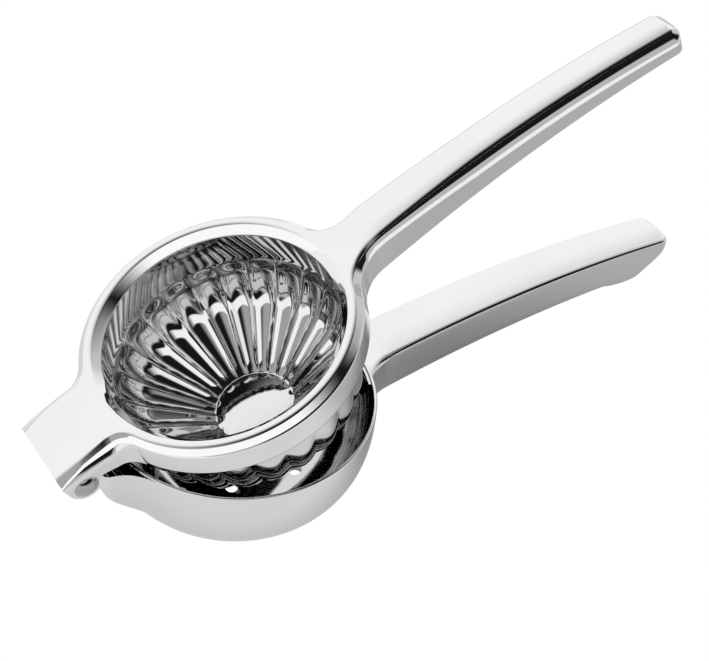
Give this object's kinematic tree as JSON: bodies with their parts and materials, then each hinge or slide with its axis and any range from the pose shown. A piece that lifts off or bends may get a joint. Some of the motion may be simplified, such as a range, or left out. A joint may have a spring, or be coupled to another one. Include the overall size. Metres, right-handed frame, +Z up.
{
  "type": "hinged lemon squeezer",
  "caption": "Hinged citrus press: a fluted press cup in a ring swings down on a riveted hinge into a holed strainer bowl, each on its own long hollow steel handle.",
  "frame": {"origin": "centre of the strainer bowl's flat base, on the surface it stands on", "axes": "+X along the lower handle, from the hinge side to the handle's tip; +Y to the far side along the hinge pin; +Z up, square to the bowl's rim"},
  "size_m": [0.2206, 0.082, 0.12],
  "materials": {
    "polished_steel": "mirror-polished stainless steel",
    "plate_steel": "polished stainless steel sheet",
    "pin_steel": "polished stainless steel, headed by riveting",
    "washer_steel": "plain stainless steel"
  },
  "bodies": {
    "lower_jaw": {"strainer_bowl": "polished_steel", "hinge_neck": "polished_steel", "lower_handle": "polished_steel", "lower_handle_plate": "plate_steel"},
    "upper_jaw": {"press_frame": "polished_steel", "press_cup": "polished_steel", "upper_handle": "polished_steel", "upper_handle_plate": "plate_steel", "hinge_pin": "pin_steel", "rivet_cap": "pin_steel", "near_washer": "washer_steel", "far_washer": "washer_steel"}
  },
  "joints": [
    {"name": "hinge_open", "type": "hinge", "parent": "lower_jaw", "child": "upper_jaw", "pos_m": [-0.0534, 0, 0.0325], "axis": [0, -1, 0], "range_deg": [-20, 100]}
  ]
}
